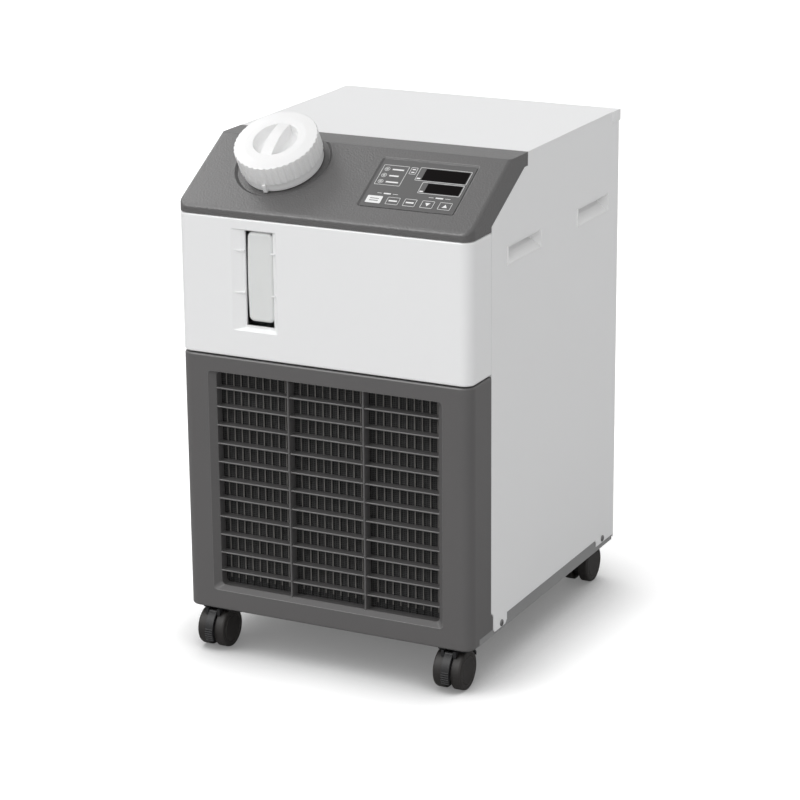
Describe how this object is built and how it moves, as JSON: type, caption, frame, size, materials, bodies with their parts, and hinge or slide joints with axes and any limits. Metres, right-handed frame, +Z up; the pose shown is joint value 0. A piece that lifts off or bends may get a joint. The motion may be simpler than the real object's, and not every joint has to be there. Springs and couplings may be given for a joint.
{
  "type": "recirculating chiller",
  "caption": "Air-cooled recirculating chiller cabinet on four twin-wheel casters, with front air grille, level window, screw-on filler cap and slanted control panel.",
  "frame": {"origin": "centre of the overall box on the floor, under the casters", "axes": "+Z up, front with grille and window faces -Y, +X to the right seen from the front"},
  "size_m": [0.3802, 0.463, 0.6491],
  "materials": {
    "white_panel": "satin",
    "grey_pan": "satin",
    "frame_steel": "satin",
    "white_moulding": "satin",
    "grey_moulding": "satin",
    "black_plastic": "matte",
    "translucent": "translucent",
    "white_cap": "satin",
    "rubber": "matte",
    "tread": "matte",
    "filter": "matte",
    "overlay": "matte",
    "board": "satin",
    "zinc": "satin",
    "copper": "satin",
    "coil": "matte",
    "black_metal": "satin",
    "motor": "satin",
    "stainless": "brushed",
    "brass": "satin",
    "hose": "matte"
  },
  "bodies": {
    "cabinet": {"base_pan": "grey_pan", "side_panel_left": "white_panel", "side_panel_right": "white_panel", "top_panel": "white_panel", "rear_panel": "white_panel", "front_frame": "frame_steel", "control_hood": "grey_moulding", "upper_front_panel": "white_moulding", "side_grips_left": "white_moulding", "side_grips_right": "white_moulding", "tank": "translucent", "control_overlay": "overlay", "control_board": "board", "electrical_box": "frame_steel", "breaker_body": "black_plastic", "cable_gland": "black_plastic", "io_connector": "black_plastic", "condenser": "coil", "fan_shroud": "black_metal", "fan_motor": "motor", "compressor": "black_metal", "compressor_mounts": "rubber", "evaporator": "stainless", "discharge_pipe": "copper", "suction_pipe": "copper", "liquid_pipe": "copper", "pump": "motor", "return_pipe": "hose", "tank_feed_pipe": "hose", "pump_inlet_pipe": "hose", "supply_pipe": "hose", "outlet_port": "brass", "return_port": "brass", "drain_port": "brass", "panel_screws": "zinc", "caster_nuts": "zinc", "caster_stem_front_left": "zinc", "caster_stem_front_right": "zinc", "caster_stem_rear_left": "zinc", "caster_stem_rear_right": "zinc"},
    "cap_seal": {"cap_gasket": "rubber"},
    "cap": {"filler_cap": "white_cap"},
    "grille": {"grille_panel": "grey_moulding", "dust_filter": "filter"},
    "fan": {"fan_rotor": "black_plastic"},
    "lever": {"breaker_lever": "black_plastic"},
    "pedal_left": {"brake_pedal_left": "black_plastic"},
    "pedal_right": {"brake_pedal_right": "black_plastic"},
    "swivel_front_left": {"caster_hood_front_left": "black_plastic"},
    "wheel_front_left_a": {"caster_wheel_front_left_a": "tread"},
    "wheel_front_left_b": {"caster_wheel_front_left_b": "tread"},
    "swivel_front_right": {"caster_hood_front_right": "black_plastic"},
    "wheel_front_right_a": {"caster_wheel_front_right_a": "tread"},
    "wheel_front_right_b": {"caster_wheel_front_right_b": "tread"},
    "swivel_rear_left": {"caster_hood_rear_left": "black_plastic"},
    "wheel_rear_left_a": {"caster_wheel_rear_left_a": "tread"},
    "wheel_rear_left_b": {"caster_wheel_rear_left_b": "tread"},
    "swivel_rear_right": {"caster_hood_rear_right": "black_plastic"},
    "wheel_rear_right_a": {"caster_wheel_rear_right_a": "tread"},
    "wheel_rear_right_b": {"caster_wheel_rear_right_b": "tread"}
  },
  "joints": [
    {"name": "cap_lift", "type": "slide", "parent": "cabinet", "child": "cap_seal", "axis": [0, -0.509, 0.8607], "range_m": [0, 0.08]},
    {"name": "cap_turn", "type": "hinge", "parent": "cap_seal", "child": "cap", "pos_m": [-0.0861, -0.16754, 0.62514], "axis": [0, -0.509, 0.8607], "continuous": true},
    {"name": "grille_off", "type": "slide", "parent": "cabinet", "child": "grille", "axis": [0, -1, 0], "range_m": [0, 0.12]},
    {"name": "fan_spin", "type": "hinge", "parent": "cabinet", "child": "fan", "pos_m": [0, -0.10645, 0.2144], "axis": [0, -1, 0], "continuous": true},
    {"name": "breaker_throw", "type": "hinge", "parent": "cabinet", "child": "lever", "pos_m": [0.118, 0.20155, 0.3164], "axis": [1, 0, 0], "range_deg": [0, 44]},
    {"name": "swivel_front_left", "type": "hinge", "parent": "cabinet", "child": "swivel_front_left", "pos_m": [-0.158, -0.18495, 0.0511], "axis": [0, 0, 1], "continuous": true},
    {"name": "roll_front_left_a", "type": "hinge", "parent": "swivel_front_left", "child": "wheel_front_left_a", "pos_m": [-0.158, -0.20295, 0.024], "axis": [1, 0, 0], "continuous": true},
    {"name": "roll_front_left_b", "type": "hinge", "parent": "swivel_front_left", "child": "wheel_front_left_b", "pos_m": [-0.158, -0.20295, 0.024], "axis": [1, 0, 0], "continuous": true},
    {"name": "brake_left", "type": "hinge", "parent": "swivel_front_left", "child": "pedal_left", "pos_m": [-0.158, -0.21673, 0.04605], "axis": [1, 0, 0], "range_deg": [0, 10]},
    {"name": "swivel_front_right", "type": "hinge", "parent": "cabinet", "child": "swivel_front_right", "pos_m": [0.158, -0.18495, 0.0511], "axis": [0, 0, 1], "continuous": true},
    {"name": "roll_front_right_a", "type": "hinge", "parent": "swivel_front_right", "child": "wheel_front_right_a", "pos_m": [0.158, -0.20295, 0.024], "axis": [1, 0, 0], "continuous": true},
    {"name": "roll_front_right_b", "type": "hinge", "parent": "swivel_front_right", "child": "wheel_front_right_b", "pos_m": [0.158, -0.20295, 0.024], "axis": [1, 0, 0], "continuous": true},
    {"name": "brake_right", "type": "hinge", "parent": "swivel_front_right", "child": "pedal_right", "pos_m": [0.158, -0.21673, 0.04605], "axis": [1, 0, 0], "range_deg": [0, 10]},
    {"name": "swivel_rear_left", "type": "hinge", "parent": "cabinet", "child": "swivel_rear_left", "pos_m": [-0.153, 0.17005, 0.0511], "axis": [0, 0, 1], "continuous": true},
    {"name": "roll_rear_left_a", "type": "hinge", "parent": "swivel_rear_left", "child": "wheel_rear_left_a", "pos_m": [-0.153, 0.18805, 0.024], "axis": [1, 0, 0], "continuous": true},
    {"name": "roll_rear_left_b", "type": "hinge", "parent": "swivel_rear_left", "child": "wheel_rear_left_b", "pos_m": [-0.153, 0.18805, 0.024], "axis": [1, 0, 0], "continuous": true},
    {"name": "swivel_rear_right", "type": "hinge", "parent": "cabinet", "child": "swivel_rear_right", "pos_m": [0.153, 0.17005, 0.0511], "axis": [0, 0, 1], "continuous": true},
    {"name": "roll_rear_right_a", "type": "hinge", "parent": "swivel_rear_right", "child": "wheel_rear_right_a", "pos_m": [0.153, 0.18805, 0.024], "axis": [1, 0, 0], "continuous": true},
    {"name": "roll_rear_right_b", "type": "hinge", "parent": "swivel_rear_right", "child": "wheel_rear_right_b", "pos_m": [0.153, 0.18805, 0.024], "axis": [1, 0, 0], "continuous": true}
  ]
}
